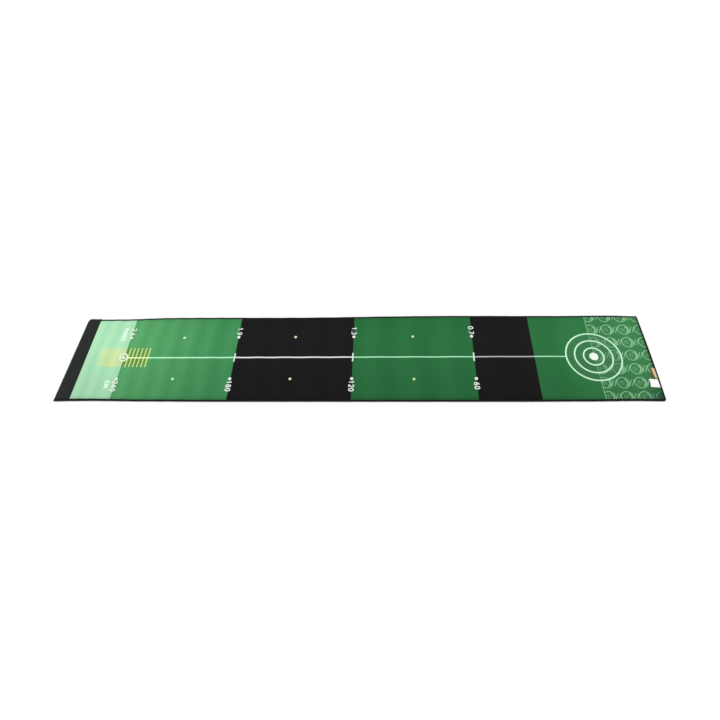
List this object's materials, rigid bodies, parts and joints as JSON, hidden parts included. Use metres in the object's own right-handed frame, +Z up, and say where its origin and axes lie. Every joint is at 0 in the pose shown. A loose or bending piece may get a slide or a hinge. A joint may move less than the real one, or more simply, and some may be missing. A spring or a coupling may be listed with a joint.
{
  "type": "practice putting mat",
  "caption": "Long flat roll-out putting mat: printed velvet on a rubber sheet, black bound edges, a stiffened start band, a target ring, and a tag and label at the target end.",
  "frame": {"origin": "on the floor, under the middle of the mat", "axes": "+X from the start end to the target end, +Y from the near long edge to the far one, +Z up from the floor"},
  "size_m": [3, 0.5, 0.0078],
  "materials": {
    "printed_velvet": "short velvet pile, printed",
    "backing_rubber": "matt, finely textured",
    "binding_tape": "matt woven tape",
    "binding_thread": "twisted polyester thread",
    "band_cloth": "matt plain weave",
    "stiffener_plastic": "satin",
    "tan_leather": "satin faux leather",
    "label_satin": "soft satin weave"
  },
  "bodies": {
    "mat": {"playing_surface": "printed_velvet", "rubber_backing": "backing_rubber", "near_edge_binding": "binding_tape", "far_edge_binding": "binding_tape", "target_end_binding": "binding_tape", "near_edge_stitching": "binding_thread", "far_edge_stitching": "binding_thread", "target_end_stitching": "binding_thread", "start_end_band": "band_cloth", "start_end_stiffener": "stiffener_plastic", "band_inner_stitching": "binding_thread", "band_end_stitching": "binding_thread"},
    "tag": {"edge_tag": "tan_leather"},
    "label": {"care_label": "label_satin"}
  },
  "joints": [
    {"name": "tag_flap", "type": "hinge", "parent": "mat", "child": "tag", "pos_m": [1.4927, -0.0985, 0.0048], "axis": [0, 1, 0], "range_deg": [0, 150]},
    {"name": "label_flap", "type": "hinge", "parent": "mat", "child": "label", "pos_m": [1.4927, -0.153, 0.004], "axis": [0, 1, 0], "range_deg": [0, 165]}
  ]
}
